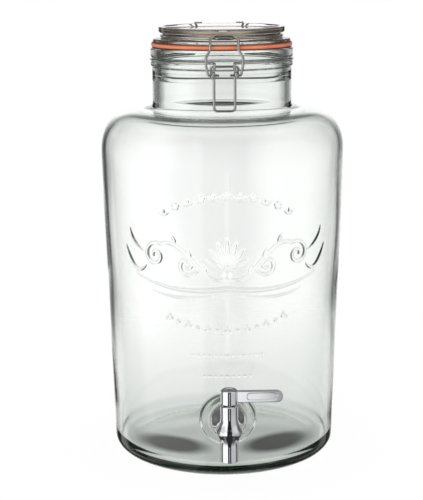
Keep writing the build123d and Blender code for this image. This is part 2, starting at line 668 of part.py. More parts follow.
def main():
    outer, inner, slip = washers()
    parts = {
        "glass_jar": glass_jar(),
        "glass_lid": glass_lid(),
        "lid_seal": lid_seal(),
        "lid_wire": lid_wire(),
        "neck_wire": neck_wire(),
        "latch_lever": latch_lever(),
        "latch_loop": latch_loop(),
        "tap_body": tap_body(),
        "tap_plug": tap_plug(),
        "plug_o_rings": plug_o_rings(),
        "tap_lever": tap_lever(),
        "tap_screw": tap_screw(),
        "tap_button": tap_button(),
        "tap_outer_washer": outer,
        "tap_inner_washer": inner,
        "tap_slip_washer": slip,
        "tap_nut": tap_nut(),
    }
    os.makedirs("parts", exist_ok=True)
    for name, shape in parts.items():
        export_step(shape, f"parts/{name}.step")


if __name__ == "__main__":
    main()
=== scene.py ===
"""Clip-top glass dispenser jar with a tap: glass, materials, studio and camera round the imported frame.

Shapes are in mm and become metres in mesh_object. Materials, studio and camera are in metres.
"""
import math

import bmesh
import bpy
import numpy as np
from mathutils import Matrix, Vector


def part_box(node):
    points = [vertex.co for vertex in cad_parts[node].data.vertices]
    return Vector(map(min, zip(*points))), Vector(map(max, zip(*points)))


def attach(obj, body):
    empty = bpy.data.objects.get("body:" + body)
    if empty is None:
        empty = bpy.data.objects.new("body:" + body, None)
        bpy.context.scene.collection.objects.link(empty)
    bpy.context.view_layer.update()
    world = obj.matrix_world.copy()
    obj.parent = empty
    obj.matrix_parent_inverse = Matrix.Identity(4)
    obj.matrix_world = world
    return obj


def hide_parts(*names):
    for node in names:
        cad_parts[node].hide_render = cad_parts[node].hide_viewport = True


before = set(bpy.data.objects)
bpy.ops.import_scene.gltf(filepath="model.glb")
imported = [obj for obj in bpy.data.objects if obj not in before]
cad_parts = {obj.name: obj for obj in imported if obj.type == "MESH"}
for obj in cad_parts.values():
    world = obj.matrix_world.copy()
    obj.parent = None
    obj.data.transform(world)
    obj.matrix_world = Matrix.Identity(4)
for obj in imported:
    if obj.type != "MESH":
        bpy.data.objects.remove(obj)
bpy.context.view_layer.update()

MM = 0.001
LOW, HIGH = 0, 1
X, Y, Z = 0, 1, 2


def edge_of(node_name, end, axis):
    """Where a CAD node's box ends along an axis, in mm to the nearest 0.1."""
    return round(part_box(node_name)[end][axis] / MM, 1)


# ---------------------------------------------------------------- jar: outside, mm
HEEL_R, HEEL_ROUND = 98.9, 12.5  # outer radius just above the heel, and the round down to the table
SHOULDER_R = edge_of("glass_jar", HIGH, X)  # widest radius, where the shoulder starts
SHOULDER_Z = 266.9
SHOULDER_TOP_R, SHOULDER_TOP_Z = 67.6, 307.2
SHOULDER_POWER = 2.64  # superellipse power of the shoulder's round
NECK_R, NECK_FILLET = 60.9, 5.0
BEAD_R, LOWER_BEAD_Z = 62.1, 344.2
BEAD_BELOW, BEAD_ABOVE = 1.0, 0.6  # the lower bead's sloped underside reaches this far below and above
GROOVE_Z, GROOVE_HALF, GROOVE_R = 349.9, 1.5, 60.3  # groove that holds the neck wire
GROOVE_OUT, GROOVE_IN = 0.9, 0.3  # its sloped sides reach this far outside and inside its half width
RIM_Z = edge_of("glass_jar", HIGH, Z)  # sealing face of the mouth
RIM_ROUND = 2.4
RIM_FLAT_R = (57.6, 58.0)  # on the sealing face, where the inner outline starts and the outer one ends
FOOT_IN_R, PUNT_Z = 80.0, 6.0  # inner edge of the ring it stands on, and the hollow's height at the axis

# ---------------------------------------------------------------- jar: inside, mm
WALL = 4.5
FLOOR_Z, FLOOR_EDGE_Z, INNER_HEEL = 13.5, 8.5, 10.0
SHOULDER_WALL = 5.0
NECK_WALL, NECK_INNER_ROUND = 5.4, 13.0
MOUTH_R, MOUTH_ROUND = 53.2, 4.0
LEDGE_LOW, LEDGE_HIGH = 332.0, 340.0  # the neck narrows to the mouth between these heights

# ---------------------------------------------------------------- jar: round the tap, mm
TAP_Z = (edge_of("tap_outer_washer", LOW, Z) + edge_of("tap_outer_washer", HIGH, Z)) / 2
HOLE_R = 8.6
BOSS_FACE_Y = edge_of("tap_outer_washer", HIGH, Y)  # flat outer face the washer bears on
BOSS_FACE_R, BOSS_SLOPE = 21.8, 5.4 / 2.6
PAD_FACE_Y = edge_of("tap_inner_washer", LOW, Y)  # flat inner face round the hole
PAD_FACE_R, PAD_SLOPE = 17.0, 1.2
BOSS_BLEND = 0.5  # softness of the edges of both faces
BOSS_REACH = 32.0  # neither face changes the wall beyond this distance from the hole's centre
FRONT_Y = -80.0  # glass nearer the front than this is the front wall

# ---------------------------------------------------------------- lid, mm
LID_Z = edge_of("lid_seal", HIGH, Z)  # underside of the lid's flange
LID_TOP_Z = edge_of("glass_lid", HIGH, Z)
DISH_R, DISH_EDGE, DISH_AXIS = 46.5, 2.7, 2.0  # dished top: radius, depth at its edge, depth at the axis
RIM_R, RIM_UNDER_Z = 54.9, 372.6
WAIST_R = 51.4  # bottom of the groove that holds the lid wire
FLANGE_R, FLANGE_T = 59.9, 2.6
PLUG_R, PLUG_DROP = 51.1, 6.2  # ring under the lid that centres it in the mouth
HOLLOW_R, HOLLOW_EDGE, HOLLOW_AXIS = 42.0, 3.6, 4.1  # hollow under the lid, heights above LID_Z

# ---------------------------------------------------------------- mesh density
FRONT_HALF, FRONT_STEP, BACK_STEP = 60.0, 0.3, 0.7  # degrees: the dense front, and both column steps
BOSS_LOW_Z, ORNAMENT_Z = 26.0, (84.0, 250.0)  # rows are closer from the boss up and closest at the ornament
ROUND_STEP = 10.0  # degrees between points of a small round
LID_COLUMNS = 240


# ================================================================ profile helpers
def arc(centre, radius, start, stop, count):
    """Points (radius, height) on a circle, angles in degrees."""
    angles = np.radians(np.linspace(start, stop, count))
    return [(centre[0] + radius * math.cos(a), centre[1] + radius * math.sin(a)) for a in angles]


def dome(edge_r, edge_z, axis_z, count):
    """Points from the edge to the axis on a circle centred on the axis."""
    rise = axis_z - edge_z
    ball = (edge_r**2 + rise**2) / (2 * abs(rise))
    side = math.copysign(1, rise)
    spread = math.asin(edge_r / ball)
    points = []
    for t in np.linspace(1, 0, count):
        a = spread * t
        points.append((ball * math.sin(a), axis_z - side * ball * (1 - math.cos(a))))
    return points


def soft_corners(corners):
    """Rounds a polyline given as (radius, height, round), with a support point each side of a round."""
    longest_share, support = 0.46, 1.12
    points = [corners[0][:2]]
    for before, here, after in zip(corners, corners[1:], corners[2:]):
        p, a, b = np.array(here[:2]), np.array(before[:2]), np.array(after[:2])
        u, v = (a - p) / np.linalg.norm(a - p), (b - p) / np.linalg.norm(b - p)
        turn = math.pi - math.acos(np.clip(u @ v, -1, 1))
        reach = here[2] * math.tan(turn / 2)
        reach = min(reach, longest_share * np.linalg.norm(a - p), longest_share * np.linalg.norm(b - p))
        radius = reach / math.tan(turn / 2)
        centre = p + (u + v) / np.linalg.norm(u + v) * (radius / math.cos(turn / 2))
        first, last = p + u * reach - centre, p + v * reach - centre
        count = max(3, math.ceil(math.degrees(turn) / ROUND_STEP) + 1)
        sweep = math.atan2(first[0] * last[1] - first[1] * last[0], first @ last)
        points.append(tuple(p + u * reach * support))
        for t in np.linspace(0, sweep, count):
            c, s = math.cos(t), math.sin(t)
            points.append((centre[0] + c * first[0] - s * first[1], centre[1] + s * first[0] + c * first[1]))
        points.append(tuple(p + v * reach * support))
    points.append(corners[-1][:2])
    return points


def wall_r(z):
    """Outer radius of the tapered wall at a height."""
    share = (z - HEEL_ROUND) / (SHOULDER_Z - HEEL_ROUND)
    return HEEL_R + (SHOULDER_R - HEEL_R) * share


def shoulder(inset, top_r, top_z, count):
    """Superellipse round of the shoulder, from the wall up to its flat top."""
    span_r, span_z = SHOULDER_R - inset - top_r, top_z - SHOULDER_Z
    points = []
    for t in np.radians(np.linspace(0, 90, count)[1:]):
        r = top_r + span_r * abs(math.cos(t)) ** (2 / SHOULDER_POWER)
        points.append((r, SHOULDER_Z + span_z * math.sin(t) ** (2 / SHOULDER_POWER)))
    return points


def heights(*spans):
    """Heights from spans of (start, stop, step), in order."""
    out = []
    for start, stop, step in spans:
        out += list(np.arange(start, stop - 1e-6, step))
    return out + [spans[-1][1]]


def jar_outside():
    """From the middle of the base out, up the wall and over the shoulder to the mouth's rim."""
    points = dome(FOOT_IN_R, 0, PUNT_Z, 26)[::-1]
    points += [(FOOT_IN_R + 0.6, 0.0), (HEEL_R - HEEL_ROUND - 0.4, 0.0)]
    points += arc((HEEL_R - HEEL_ROUND, HEEL_ROUND), HEEL_ROUND, -90, 0, 16)[:-1]
    low, high = ORNAMENT_Z
    below = (HEEL_ROUND, BOSS_LOW_Z, 1.7), (BOSS_LOW_Z, low, 0.75)
    wall = heights(*below, (low, high, 0.55), (high, SHOULDER_Z, 1.7))
    points += [(wall_r(z), z) for z in wall]
    points += shoulder(0.0, SHOULDER_TOP_R, SHOULDER_TOP_Z, 40)
    fillet = (NECK_R + NECK_FILLET, SHOULDER_TOP_Z + NECK_FILLET)
    points += arc(fillet, NECK_FILLET, 270, 180, 12)
    points += soft_corners(
        [
            (NECK_R, fillet[1] + 1.0, 0),
            (NECK_R, LOWER_BEAD_Z - BEAD_BELOW, 0.8),
            (BEAD_R, LOWER_BEAD_Z + BEAD_ABOVE, 1.2),
            (BEAD_R, GROOVE_Z - GROOVE_HALF - GROOVE_OUT, 0.6),
            (GROOVE_R, GROOVE_Z - GROOVE_HALF + GROOVE_IN, 0.6),
            (GROOVE_R, GROOVE_Z + GROOVE_HALF - GROOVE_IN, 0.6),
            (BEAD_R, GROOVE_Z + GROOVE_HALF + GROOVE_OUT, 0.8),
            (BEAD_R, RIM_Z, RIM_ROUND),
            (RIM_FLAT_R[1], RIM_Z, 0),
        ]
    )
    return points


def jar_inside():
    """From the mouth's rim down the neck, shoulder and wall to the middle of the inner floor."""
    neck_r, top_z = NECK_R - NECK_WALL, SHOULDER_TOP_Z - SHOULDER_WALL
    points = soft_corners(
        [
            (RIM_FLAT_R[0], RIM_Z, 0),
            (MOUTH_R, RIM_Z, MOUTH_ROUND),
            (MOUTH_R, LEDGE_HIGH, 3.0),
            (neck_r, LEDGE_LOW, 5.0),
            (neck_r, top_z + NECK_INNER_ROUND + 0.5, 0),
        ]
    )
    turn = (neck_r + NECK_INNER_ROUND, top_z + NECK_INNER_ROUND)
    points += arc(turn, NECK_INNER_ROUND, 180, 270, 16)
    points += shoulder(WALL, turn[0], top_z, 34)[::-1][1:]
    heel_z = FLOOR_EDGE_Z + INNER_HEEL
    wall = heights((heel_z, ORNAMENT_Z[0], 1.3), (ORNAMENT_Z[0], SHOULDER_Z, 4.0))[::-1]
    points += [(wall_r(z) - WALL, z) for z in wall]
    heel_r = wall_r(heel_z) - WALL - INNER_HEEL
    points += arc((heel_r, heel_z), INNER_HEEL, 0, -90, 16)[1:]
    points += dome(heel_r, FLOOR_EDGE_Z, FLOOR_Z, 24)[1:]
    return points


# ================================================================ mesh helpers
def columns(dense_half, dense_step, coarse_step):
    """Angles from -Y, in degrees, dense round the front and coarser round the back."""
    front = np.linspace(-dense_half, dense_half, round(2 * dense_half / dense_step) + 1)
    count = round((360 - 2 * dense_half) / coarse_step)
    back = np.linspace(dense_half, 360 - dense_half, count + 1)[1:-1]
    return np.concatenate([front, back])


def spun_grid(profile, angles):
    """Vertex grid (rows, columns, xyz) in mm for a profile spun about Z. Angle 0 is -Y, 90 is +X."""
    r = np.array([p[0] for p in profile])[:, None]
    z = np.array([p[1] for p in profile])[:, None]
    a = np.radians(angles)[None, :]
    return np.stack([r * np.sin(a), -r * np.cos(a), z + 0 * a], axis=-1)


def grid_faces(rows, cols):
    """Quads (rows, columns, corners) of a grid closed round its columns. Rows run up the outside."""
    i, j = np.meshgrid(np.arange(rows - 1), np.arange(cols), indexing="ij")
    k = (j + 1) % cols
    return np.stack([i * cols + j, i * cols + k, (i + 1) * cols + k, (i + 1) * cols + j], axis=-1)


def mesh_object(name, verts, faces):
    """A smooth object from vertices in mm. Merges the vertices on the axis and drops unused ones."""
    mesh = bpy.data.meshes.new(name)
    mesh.from_pydata((verts.reshape(-1, 3) * MM).tolist(), [], faces.reshape(-1, 4).tolist())
    obj = bpy.data.objects.new(name, mesh)
    bpy.context.scene.collection.objects.link(obj)
    bm = bmesh.new()
    bm.from_mesh(mesh)
    bmesh.ops.remove_doubles(bm, verts=bm.verts, dist=2e-6)
    loose = [v for v in bm.verts if not v.link_faces]
    bmesh.ops.delete(bm, geom=loose, context="VERTS")
    bmesh.ops.recalc_face_normals(bm, faces=bm.faces)
    for face in bm.faces:
        face.smooth = True
    bm.to_mesh(mesh)
    bm.free()
    return obj


def join_hole_edges(obj):
    """Joins the two open edges of a mesh, here the tap hole outside and inside, with a ring of faces."""
    bm = bmesh.new()
    bm.from_mesh(obj.data)
    edges = [e for e in bm.edges if e.is_boundary]
    for face in bmesh.ops.bridge_loops(bm, edges=edges)["faces"]:
        face.smooth = True
    bmesh.ops.recalc_face_normals(bm, faces=bm.faces)
    bm.to_mesh(obj.data)
    bm.free()


# ================================================================ raised ornament
RELIEF_R = 103.5  # wall radius used to turn angles into arc lengths, mm
FULL, FAINT = 1.0, 0.55  # how far the ornament and the fine rows stand out, mm
STAMP_STEP = 0.3  # distance between the stamps of a stroke, mm
THINNEST, FULL_WIDTH = 0.3, 1.2  # half widths, mm: thinner isn't drawn, and narrower stands out less
PALMETTE_Z = 184.0


class Relief:
    """Height map over (arc length, height) of the jar's front, filled by stamping round strokes."""

    def __init__(self, s, z):
        self.s, self.z = s, z
        self.h = np.zeros((len(z), len(s)))

    def stamp(self, cs, cz, radius, height):
        """Raises a round bump, except where the map is higher already."""
        i0, i1 = np.searchsorted(self.z, [cz - radius, cz + radius])
        j0, j1 = np.searchsorted(self.s, [cs - radius, cs + radius])
        if i0 == i1 or j0 == j1:
            return
        dz = (self.z[i0:i1, None] - cz) / radius
        ds = (self.s[None, j0:j1] - cs) / radius
        bump = height * np.clip(1 - ds**2 - dz**2, 0, None) ** 0.75
        window = self.h[i0:i1, j0:j1]
        np.maximum(window, bump, out=window)

    def stroke(self, points, widths, height):
        """Stamps along a polyline, whose half width runs through the given values."""
        points = np.array(points, float)
        gaps = np.linalg.norm(np.diff(points, axis=0), axis=1)
        run = np.concatenate([[0], np.cumsum(gaps)])
        t = np.linspace(0, run[-1], max(2, int(run[-1] / STAMP_STEP)))
        s, z = np.interp(t, run, points[:, 0]), np.interp(t, run, points[:, 1])
        stops = np.linspace(0, run[-1], len(widths))
        for cs, cz, w in zip(s, z, np.interp(t, stops, widths)):
            if w > THINNEST:
                self.stamp(cs, cz, w, height * min(1, w / FULL_WIDTH))

    def leaf(self, s, z, angle, length, width, height):
        """Pointed leaf from its stalk, at an angle in degrees. The width is half the leaf's."""
        a = math.radians(angle)
        tip = (s + length * math.cos(a), z + length * math.sin(a))
        self.stroke([(s, z), tip], [0.4, width, width * 0.8, 0.4], height)


def spiral(centre, radii, start, turns):
    """Scroll from its outer end inwards. Angles are in degrees, and negative turns run clockwise."""
    points = []
    for t in np.linspace(0, 1, 60):
        a = math.radians(start + 360 * turns * t)
        r = radii[0] + (radii[1] - radii[0]) * t**0.8
        points.append((centre[0] + r * math.cos(a), centre[1] + r * math.sin(a)))
    return points


def bezier(p0, p1, p2, p3):
    """Cubic curve through 40 points."""
    points = []
    for t in np.linspace(0, 1, 40):
        u = 1 - t
        s = u**3 * p0[0] + 3 * u * u * t * p1[0] + 3 * u * t * t * p2[0] + t**3 * p3[0]
        z = u**3 * p0[1] + 3 * u * u * t * p1[1] + 3 * u * t * t * p2[1] + t**3 * p3[1]
        points.append((s, z))
    return points


def flower_row(relief):
    """Arched row of small flowers, with a spray of three leaves between each two."""
    pitch, top_z, arch = 10.6, 246.0, 0.0052
    for i in range(-5, 6):
        s = i * pitch
        z = top_z - arch * s**2
        if i % 2 == 0:
            for k in range(5):
                a = math.radians(90 + 72 * k)
                relief.stamp(s + 2.3 * math.cos(a), z + 2.3 * math.sin(a), 1.5, FULL)
            relief.stamp(s, z, 1.3, FULL)
        else:
            for lean in (35, 90, 145):
                relief.leaf(s, z - 3.2, lean, 6.2, 1.25, FULL)


def scrollwork(relief):
    """A leafy branch with scrolls either side of the middle, over two long sweeps."""
    branch = bezier((4, 176), (22, 170), (36, 214), (56, 204))
    strokes = [
        (branch, [1.0, 2.4, 2.2, 1.6]),
        (spiral((62, 194), (11.5, 2.0), 118, -1.35), [1.6, 2.0, 1.3]),
        (spiral((33, 187), (9.5, 1.8), 200, 1.3), [1.3, 2.0, 1.2]),
        (bezier((72, 184), (82, 172), (90, 186), (96, 198)), [0.6, 1.9, 1.5, 0.5]),
        (bezier((74, 196), (84, 200), (88, 206), (90, 214)), [0.5, 1.7, 0.5]),
        (bezier((0, 168), (30, 164), (56, 166), (84, 176)), [2.4, 1.9, 1.3, 0.5]),
        (bezier((12, 162), (34, 158), (52, 159), (66, 164)), [0.5, 1.3, 0.5]),
    ]
    for side in (1, -1):
        for points, widths in strokes:
            relief.stroke([(side * s, z) for s, z in points], widths, FULL)
        for s, z in branch[10:31:10]:
            relief.leaf(side * s, z + 2.0, 90 - side * 25, 8.0, 1.7, FULL)


def palmette(relief):
    """Fan of leaves in the middle."""
    for lean in (-62, -38, -18, 0, 18, 38, 62):
        length = 27 - 0.13 * abs(lean)
        a = math.radians(90 - lean)
        base = (5 * math.cos(a), PALMETTE_Z + 4 * math.sin(a))
        tip = (length * math.cos(a), PALMETTE_Z + length * math.sin(a))
        relief.stroke([base, tip], [0.6, 2.3, 1.9, 0.7], FULL)
    relief.stamp(0, PALMETTE_Z - 4, 3.4, FULL)


def leaf_row(relief):
    """Lower row of leaf pairs and dots, curved the other way."""
    pitch, low_z, arch = 8.4, 130.0, 0.0040
    for i in range(-6, 7):
        s = i * pitch
        z = low_z + arch * s**2
        slope = math.degrees(math.atan(2 * arch * s))
        if i % 2 == 0:
            relief.leaf(s - 3.2, z, slope + 30, 5.2, 1.35, FULL)
            relief.leaf(s + 3.2, z, slope + 150, 5.2, 1.35, FULL)
            relief.leaf(s, z + 1.0, slope + 90, 4.6, 1.2, FULL)
        else:
            relief.stamp(s, z + 1.5, 1.9, FULL)


def fine_row(relief, z, half_count):
    """Straight row of fine dots, with a dash at every third place."""
    pitch = 5.0
    for i in range(-half_count, half_count + 1):
        if i % 3 == 0:
            relief.leaf(i * pitch - 1.8, z, 0, 3.6, 1.2, FAINT)
        else:
            relief.stamp(i * pitch, z, 1.25, FAINT)


def ornament(relief):
    """Generic leaf-and-scroll ornament. It holds no lettering and no mark."""
    flower_row(relief)
    scrollwork(relief)
    palmette(relief)
    leaf_row(relief)
    fine_row(relief, 110.0, 6)
    fine_row(relief, 92.0, 4)


# ================================================================ glass meshes
WAVES_Z = [16, 36, 270, 300]  # the waves in the glass grow and die out between the first and last two, mm
WAVE_SINK = 0.16  # the outside is drawn in by this much, so that no wave stands out past the CAD's wall, mm


def soft_min(a, b, blend):
    """Smooth minimum of two arrays."""
    h = np.clip(0.5 + 0.5 * (b - a) / blend, 0, 1)
    return b + (a - b) * h - blend * h * (1 - h)


def blown_waves(angles, r, z, outer):
    """How far the faint rounded waves of blown glass stand out, in mm."""
    a = np.radians(angles)[None, :]
    outside = 0.10 * np.sin(3 * a + z / 31.0) * np.sin(z / 47.0 + 1.1)
    outside += 0.06 * np.sin(5 * a - z / 23.0 + 0.6)
    inside = 0.14 * np.sin(2 * a - z / 37.0 + 2.0) * np.sin(z / 29.0)
    inside += 0.07 * np.sin(7 * a + z / 19.0)
    strength = np.interp(z, WAVES_Z, [0, 1, 1, 0]) * (r > FOOT_IN_R)
    return strength * np.where(outer, outside - WAVE_SINK, inside)


def raise_ornament(rise, angles, z, outer):
    """Adds the ornament to the outer wall's part of a map of how far the glass stands out."""
    front = np.where(np.abs(angles) <= FRONT_HALF)[0]
    wall = np.where(outer[:, 0] & (z[:, 0] >= ORNAMENT_Z[0]) & (z[:, 0] <= ORNAMENT_Z[1]))[0]
    relief = Relief(np.radians(angles[front]) * RELIEF_R, z[wall, 0])
    ornament(relief)
    rise[np.ix_(wall, front)] += relief.h


def press_boss(grid, outer):
    """Flattens the glass round the tap's hole, into a boss outside and a pad inside."""
    y = grid[..., Y]
    rho = np.hypot(grid[..., X], grid[..., Z] - TAP_Z)
    boss = BOSS_FACE_Y + np.clip(rho - BOSS_FACE_R, 0, None) * BOSS_SLOPE
    pad = PAD_FACE_Y - np.clip(rho - PAD_FACE_R, 0, None) * PAD_SLOPE
    pressed = np.where(outer, soft_min(y, boss, BOSS_BLEND), -soft_min(-y, -pad, BOSS_BLEND))
    grid[..., Y] = np.where((y < FRONT_Y) & (rho < BOSS_REACH), pressed, y)


def open_hole(grid):
    """Marks the faces in the tap's hole, and pulls the edge round them onto the hole's circle."""
    on_circle = 0.1
    rho = np.hypot(grid[..., X], grid[..., Z] - TAP_Z)
    inside = (rho < HOLE_R - on_circle) & (grid[..., Y] < FRONT_Y)
    beside = np.roll(inside, -1, axis=1)
    cut = inside[:-1] | beside[:-1] | inside[1:] | beside[1:]
    edge = np.zeros(inside.shape, bool)
    for faces in (cut, np.roll(cut, 1, axis=1)):
        edge[:-1] |= faces
        edge[1:] |= faces
    edge &= ~inside
    grow = HOLE_R / rho[edge]
    grid[edge, X] *= grow
    grid[edge, Z] = TAP_Z + (grid[edge, Z] - TAP_Z) * grow
    return cut


def glass_jar():
    """The jar with its ornament, the waves in its glass, and the hole for the tap."""
    outside, inside = jar_outside(), jar_inside()
    angles = columns(FRONT_HALF, FRONT_STEP, BACK_STEP)
    grid = spun_grid(outside + inside, angles)
    r, z = np.array(outside + inside)[:, :1], np.array(outside + inside)[:, 1:]
    outer = (np.arange(len(grid)) < len(outside))[:, None]
    rise = blown_waves(angles, r, z, outer)
    raise_ornament(rise, angles, z, outer)
    grid[..., [X, Y]] *= (1 + rise / np.maximum(r, 1))[..., None]
    press_boss(grid, outer)
    cut = open_hole(grid)
    obj = mesh_object("jar_glass", grid, grid_faces(*grid.shape[:2])[~cut])
    join_hole_edges(obj)
    return obj


def glass_lid():
    """The lid: dished top, rim, groove for its wire, flange, and the ring that sits in the mouth."""
    top = LID_TOP_Z
    profile = dome(DISH_R, top - DISH_EDGE, top - DISH_AXIS, 14)[::-1]
    profile += soft_corners(
        [
            (DISH_R + 0.3, top - DISH_EDGE, 0),
            (DISH_R + 1.9, top - DISH_EDGE + 0.05, 1.6),
            (51.6, top, 2.4),
            (RIM_R + 0.08, top, 0.7),
            (RIM_R, RIM_UNDER_Z + 0.02, 1.3),
            (WAIST_R, RIM_UNDER_Z, 0.6),
            (WAIST_R, LID_Z + FLANGE_T + 1.3, 0.6),
            (FLANGE_R, LID_Z + FLANGE_T, 1.2),
            (FLANGE_R, LID_Z + 0.05, 0.9),
            (PLUG_R + 0.5, LID_Z + 0.02, 0.4),
            (PLUG_R, LID_Z - PLUG_DROP, 1.6),
            (47.4, LID_Z - PLUG_DROP, 1.6),
            (46.2, LID_Z + HOLLOW_EDGE - 0.2, 2.6),
            (HOLLOW_R + 0.6, LID_Z + HOLLOW_EDGE + 0.02, 0),
        ]
    )
    profile += dome(HOLLOW_R, LID_Z + HOLLOW_EDGE, LID_Z + HOLLOW_AXIS, 12)
    grid = spun_grid(profile, np.linspace(0, 360, LID_COLUMNS + 1)[:-1])
    return mesh_object("lid_glass", grid, grid_faces(*grid.shape[:2]))


# ================================================================ shader node helpers
def feed(tree, value, socket):
    """Links another node's output to a socket, or sets the socket to a plain value."""
    if isinstance(value, bpy.types.NodeSocket):
        tree.links.new(value, socket)
    else:
        socket.default_value = value


def node(tree, kind, **values):
    """A new shader node. Each value feeds the input of that name, or else sets that property."""
    made = tree.nodes.new(kind)
    for key, value in values.items():
        if key in made.inputs:
            feed(tree, value, made.inputs[key])
        else:
            setattr(made, key, value)
    return made


def rgba(colour):
    """A colour with alpha, from a grey or from red, green and blue."""
    if isinstance(colour, tuple):
        return (*colour, 1)
    return (colour, colour, colour, 1)


def position(tree):
    """Place in object space, which here is the shared frame."""
    return node(tree, "ShaderNodeTexCoord").outputs["Object"]


def split(tree, vector):
    """The X, Y and Z of a vector."""
    return node(tree, "ShaderNodeSeparateXYZ", Vector=vector).outputs[:]


def length(tree, vector):
    made = node(tree, "ShaderNodeVectorMath", operation="LENGTH")
    feed(tree, vector, made.inputs[0])
    return made.outputs["Value"]


def arithmetic(tree, operation, first, second=None, clamp=False):
    """A number worked out from one or two others."""
    made = node(tree, "ShaderNodeMath", operation=operation, use_clamp=clamp)
    feed(tree, first, made.inputs[0])
    if second is not None:
        feed(tree, second, made.inputs[1])
    return made.outputs["Value"]


def is_ray(tree, kind):
    """1 on rays of one kind, such as Camera or Glossy, and 0 on all others."""
    return node(tree, "ShaderNodeLightPath").outputs[f"Is {kind} Ray"]


def ease(tree, value, start, stop):
    """0 to 1 as a value goes smoothly from start to stop."""
    made = node(tree, "ShaderNodeMapRange", interpolation_type="SMOOTHSTEP", Value=value)
    made.inputs["From Min"].default_value = start
    made.inputs["From Max"].default_value = stop
    return made.outputs["Result"]


def mixed(tree, low, high, factor):
    """Colour from low to high as the factor goes from 0 to 1. Each is a grey, a tuple or a socket."""
    made = node(tree, "ShaderNodeMix", data_type="RGBA")
    share, first, second = made.inputs[0], made.inputs[6], made.inputs[7]
    for colour, socket in ((low, first), (high, second)):
        plain = isinstance(colour, (int, float, tuple))
        feed(tree, rgba(colour) if plain else colour, socket)
    feed(tree, factor, share)
    return made.outputs[2]


def mixed_shader(tree, low, high, factor):
    """Surface that goes from one shader to another as the factor goes from 0 to 1."""
    made = node(tree, "ShaderNodeMixShader", Fac=factor)
    feed(tree, low, made.inputs[1])
    feed(tree, high, made.inputs[2])
    return made.outputs["Shader"]


def ramp(tree, source, low, high, start=0.3, stop=0.7):
    """Colour from low to high, each a grey or a tuple, as a value goes from start to stop."""
    made = node(tree, "ShaderNodeValToRGB", Fac=source)
    for element, place, colour in zip(made.color_ramp.elements, (start, stop), (low, high)):
        element.position = place
        element.color = rgba(colour)
    return made.outputs["Color"]


def greys(tree, value, stops):
    """Grey through (value, grey) stops, for a value between -1 and 1."""
    spread = node(tree, "ShaderNodeMapRange", Value=value)
    spread.inputs["From Min"].default_value = -1.0
    made = node(tree, "ShaderNodeValToRGB", Fac=spread.outputs["Result"])
    elements = made.color_ramp.elements
    while len(elements) < len(stops):
        elements.new(0.5)
    for element, (place, grey) in zip(elements, stops):
        element.position = (place + 1) / 2
        element.color = rgba(grey)
    return made.outputs["Color"]


def noise(tree, scale, detail, rough=0.5):
    """Noise in object space. The scale is in features per metre."""
    place = position(tree)
    made = node(tree, "ShaderNodeTexNoise", Vector=place, Scale=scale, Detail=detail, Roughness=rough)
    return made.outputs["Fac"]


def bump(tree, height, shader, strength, distance):
    made = node(tree, "ShaderNodeBump", Strength=strength, Distance=distance, Height=height)
    feed(tree, made.outputs["Normal"], shader.inputs["Normal"])


# ================================================================ materials
def new_material(name):
    """A material with nodes: the material, its node tree and its principled shader."""
    mat = bpy.data.materials.new(name)
    mat.use_nodes = True
    return mat, mat.node_tree, mat.node_tree.nodes["Principled BSDF"]


def surface(tree, shader_output):
    """Makes a shader the material's surface."""
    feed(tree, shader_output, tree.nodes["Material Output"].inputs["Surface"])


def glass(name, absorbed, density, shade):
    """Clear glass that takes on a cast where it is thick. Lamps shine through it, dimmed to the shade."""
    mat, tree, shader = new_material(name)
    shader.inputs["Base Color"].default_value = rgba(1.0)
    shader.inputs["Transmission Weight"].default_value = 1.0
    shader.inputs["IOR"].default_value = 1.51
    smears = noise(tree, 60, 3)
    feed(tree, ramp(tree, smears, 0.0, 0.02), shader.inputs["Roughness"])
    clear = node(tree, "ShaderNodeBsdfTransparent", Color=rgba(shade)).outputs["BSDF"]
    surface(tree, mixed_shader(tree, shader.outputs["BSDF"], clear, is_ray(tree, "Shadow")))
    volume = node(tree, "ShaderNodeVolumeAbsorption", Color=rgba(absorbed), Density=density)
    feed(tree, volume.outputs["Volume"], tree.nodes["Material Output"].inputs["Volume"])
    return mat


def metal(name, colour, rough, grain, depth=0.00002):
    """Metal with a clouded tone, smeared roughness between two values, and a fine grain."""
    mat, tree, shader = new_material(name)
    shader.inputs["Metallic"].default_value = 1.0
    clouds = noise(tree, 90, 4)
    worn = tuple(c * 0.86 for c in colour)
    feed(tree, ramp(tree, clouds, worn, colour, 0.25, 0.6), shader.inputs["Base Color"])
    smears = noise(tree, 45, 5, 0.6)
    feed(tree, ramp(tree, smears, *rough), shader.inputs["Roughness"])
    bump(tree, noise(tree, grain, 2), shader, 0.25, depth)
    return mat


def moulded(name, dark, light, rough, soft=0.0, edge=None):
    """Mottled rubber or plastic. A dark edge colour, painted shade, takes over where the surface turns up or
    down.
    """
    mat, tree, shader = new_material(name)
    clouds = noise(tree, 70, 4)
    tint = ramp(tree, clouds, dark, light)
    if edge:
        normal = node(tree, "ShaderNodeNewGeometry").outputs["Normal"]
        tilt = arithmetic(tree, "ABSOLUTE", split(tree, normal)[Z])
        # painted shade: the edge colour darkens faces that turn up or down
        tint = mixed(tree, tint, edge, ease(tree, tilt, 0.18, 0.78))
    feed(tree, tint, shader.inputs["Base Color"])
    grain = noise(tree, 900, 3)
    feed(tree, ramp(tree, grain, *rough), shader.inputs["Roughness"])
    shader.inputs["Subsurface Weight"].default_value = soft
    shader.inputs["Subsurface Radius"].default_value = (0.004, 0.0015, 0.001)
    bump(tree, grain, shader, 0.2, 0.00004)
    return mat


def paint(obj, mat):
    """Gives an object one material."""
    obj.data.materials.clear()
    obj.data.materials.append(mat)


